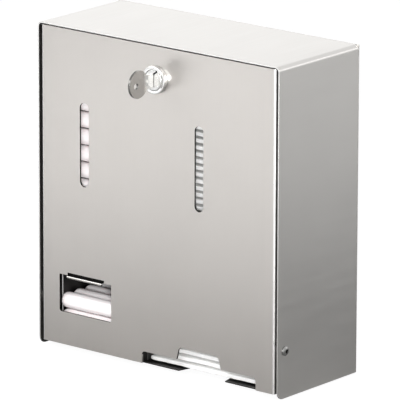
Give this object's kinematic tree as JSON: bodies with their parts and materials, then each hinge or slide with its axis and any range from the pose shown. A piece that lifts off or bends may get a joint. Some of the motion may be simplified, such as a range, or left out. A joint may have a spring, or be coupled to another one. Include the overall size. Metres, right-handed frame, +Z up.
{
  "type": "hygiene product dispenser",
  "caption": "Wall dispenser in satin stainless steel with a locked fold-down front, a tampon magazine with a pick-up hatch and a pad magazine with a bottom outlet.",
  "frame": {"origin": "centre of the back face, on the wall", "axes": "+Y into the wall, square to the back face; the front faces -Y; +Z up, along the height; +X to the right seen from the front"},
  "size_m": [0.2538, 0.1363, 0.272],
  "materials": {
    "satin_stainless": "satin",
    "sheet_stainless": "mill",
    "zinc_steel": "zinc plated",
    "lock_chrome": "polished",
    "key_nickel": "nickel plated",
    "buffer_rubber": "matte",
    "tampon_wrap": "film wrap",
    "pad_wrap": "film wrap"
  },
  "bodies": {
    "housing": {"housing_shell": "satin_stainless", "back_plate": "satin_stainless", "lock_keeper": "zinc_steel", "pivot_rivet_left": "zinc_steel", "pivot_spacer_left": "zinc_steel", "stop_pin_left": "zinc_steel", "buffer_bracket_left": "sheet_stainless", "door_buffer_left": "buffer_rubber", "pivot_rivet_right": "zinc_steel", "pivot_spacer_right": "zinc_steel", "stop_pin_right": "zinc_steel", "buffer_bracket_right": "sheet_stainless", "door_buffer_right": "buffer_rubber"},
    "door": {"front_door": "satin_stainless", "hatch_lip": "satin_stainless", "shaft_side_left": "sheet_stainless", "shaft_side_right": "sheet_stainless", "shaft_back": "sheet_stainless", "return_ramp": "sheet_stainless", "pickup_tray": "sheet_stainless", "tampon_column": "tampon_wrap", "ramp_tampon_1": "tampon_wrap", "ramp_tampon_2": "tampon_wrap", "ramp_tampon_3": "tampon_wrap", "ramp_tampon_4": "tampon_wrap", "ramp_tampon_5": "tampon_wrap", "ramp_tampon_6": "tampon_wrap", "tampons_in_tray": "tampon_wrap", "front_tampon": "tampon_wrap", "pad_shaft": "sheet_stainless", "pad_floor": "sheet_stainless", "pad_stack": "pad_wrap", "weld_stud_1": "zinc_steel", "weld_stud_2": "zinc_steel", "weld_stud_3": "zinc_steel", "weld_stud_4": "zinc_steel", "weld_stud_5": "zinc_steel", "weld_stud_6": "zinc_steel", "weld_stud_7": "zinc_steel", "weld_stud_8": "zinc_steel", "magazine_nut_1": "zinc_steel", "magazine_nut_2": "zinc_steel", "magazine_nut_3": "zinc_steel", "magazine_nut_4": "zinc_steel", "magazine_nut_5": "zinc_steel", "magazine_nut_6": "zinc_steel", "magazine_nut_7": "zinc_steel", "magazine_nut_8": "zinc_steel", "lock_barrel": "lock_chrome", "lock_washer": "zinc_steel", "lock_nut": "zinc_steel"},
    "lock": {"lock_plug": "lock_chrome", "lock_cam": "zinc_steel", "cam_screw": "zinc_steel", "key": "key_nickel"}
  },
  "joints": [
    {"name": "door_hinge", "type": "hinge", "parent": "housing", "child": "door", "pos_m": [0, -0.0926, -0.0968], "axis": [1, 0, 0], "range_deg": [0, 60]},
    {"name": "lock_turn", "type": "hinge", "parent": "door", "child": "lock", "pos_m": [0, -0.102, 0.1071], "axis": [0, 1, 0], "range_deg": [0, 90]}
  ]
}
